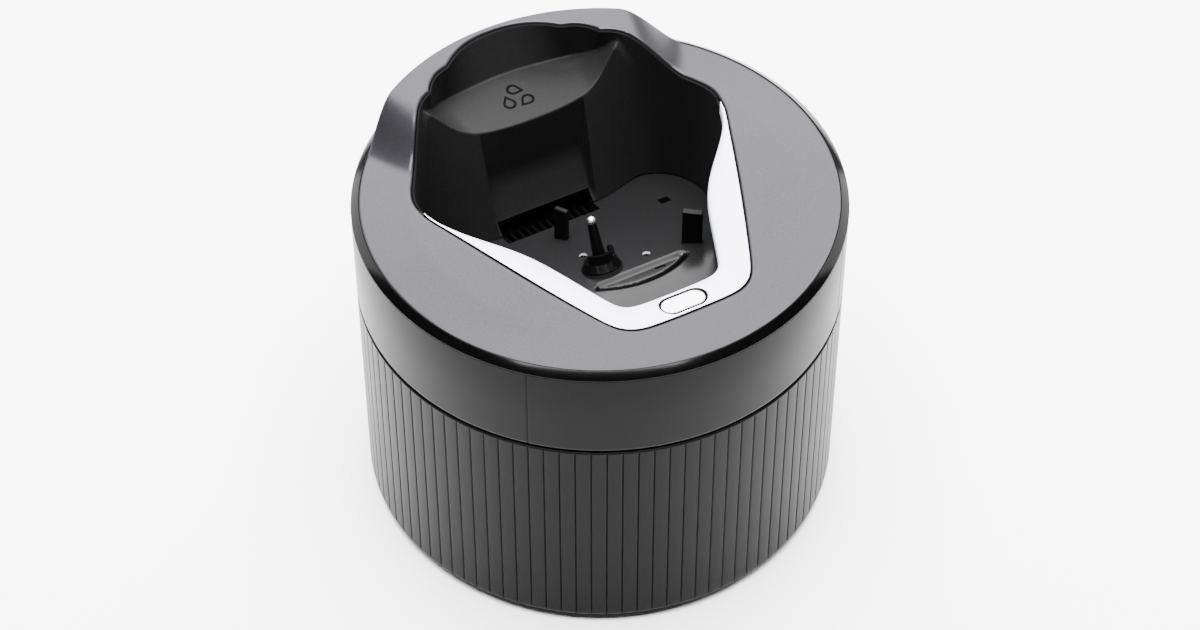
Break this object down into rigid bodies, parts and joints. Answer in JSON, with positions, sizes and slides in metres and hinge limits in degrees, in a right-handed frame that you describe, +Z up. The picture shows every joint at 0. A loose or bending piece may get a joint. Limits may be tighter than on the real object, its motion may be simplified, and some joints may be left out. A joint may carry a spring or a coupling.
{
  "type": "shaver cleaning pod",
  "caption": "Round cordless cleaning pod for a rotary shaver: ribbed base with a fluid cartridge and a lift-off top with a shaver well, drive spindle and latch button.",
  "frame": {"origin": "on the table under the feet, on the axis of the round base", "axes": "+Z up along the base's axis, -Y towards the front with the release button, +X to the user's right"},
  "size_m": [0.124, 0.124, 0.1019],
  "materials": {
    "grey_metallic": "fine metallic satin",
    "pearl": "smooth gloss",
    "gloss_black": "gloss",
    "band_grey": "satin",
    "base_grey": "fine texture",
    "black_satin": "satin",
    "tray_grey": "satin",
    "button_white": "gloss",
    "steel": "bright",
    "bush_brass": "sintered",
    "rubber_black": "matte",
    "seal_blue": "matte",
    "cartridge_white": "translucent milky",
    "filter_felt": "open carbon felt",
    "icon_ink": "print"
  },
  "bodies": {
    "base": {"base_cup": "base_grey", "bottom_plate": "black_satin", "rubber_feet": "rubber_black", "bottom_screws": "steel"},
    "cartridge": {"cartridge_tub": "cartridge_white", "cartridge_lid": "black_satin", "cartridge_seal": "seal_blue", "filter_frame": "black_satin", "filter_pad": "filter_felt"},
    "top": {"cover_plate": "grey_metallic", "trim_band": "pearl", "black_ring": "gloss_black", "collar_band": "band_grey", "top_chassis": "black_satin", "chassis_seal": "rubber_black", "shaver_holder": "black_satin", "drops_icon": "icon_ink", "drip_tray": "tray_grey", "tray_seal": "rubber_black", "tray_screws": "steel", "drain_grille": "black_satin", "jet_nozzles": "steel", "bearing_carrier": "black_satin", "pump_housing": "black_satin", "pump_strainer": "black_satin", "riser_tubes": "cartridge_white", "pump_screws": "steel", "upper_bush": "bush_brass", "lower_bush": "bush_brass", "shaft_seal": "rubber_black", "button_guide": "black_satin", "latch_guide": "black_satin", "button_spring": "steel", "latch_spring": "steel"},
    "spindle": {"drive_sleeve": "black_satin", "drive_dog": "black_satin", "spindle_shaft": "steel", "impeller": "cartridge_white", "retaining_clip": "steel"},
    "button": {"release_button": "button_white"},
    "latch": {"latch_slide": "steel"}
  },
  "joints": [
    {"name": "top_lift", "type": "slide", "parent": "base", "child": "top", "axis": [0, 0, 1], "range_m": [0, 0.14]},
    {"name": "cartridge_lift", "type": "slide", "parent": "base", "child": "cartridge", "axis": [0, 0, 1], "range_m": [0, 0.07]},
    {"name": "spindle_turn", "type": "hinge", "parent": "top", "child": "spindle", "pos_m": [0, -0.0011, 0.0674], "axis": [0, 0.4384, 0.8988], "continuous": true},
    {"name": "button_press", "type": "slide", "parent": "top", "child": "button", "axis": [0, 0, 1], "range_m": [-0.002, 0], "stiffness_N_per_m": 300, "springref_m": 0.002, "deforming": ["button_spring"]},
    {"name": "latch_retract", "type": "slide", "parent": "top", "child": "latch", "axis": [0, 1, 0], "range_m": [0, 0.002], "deforming": ["latch_spring"]}
  ],
  "couplings": [
    {"joint": "cartridge_lift", "follows": "top_lift", "ratio": 0.5},
    {"joint": "latch_retract", "follows": "button_press", "ratio": -1}
  ]
}
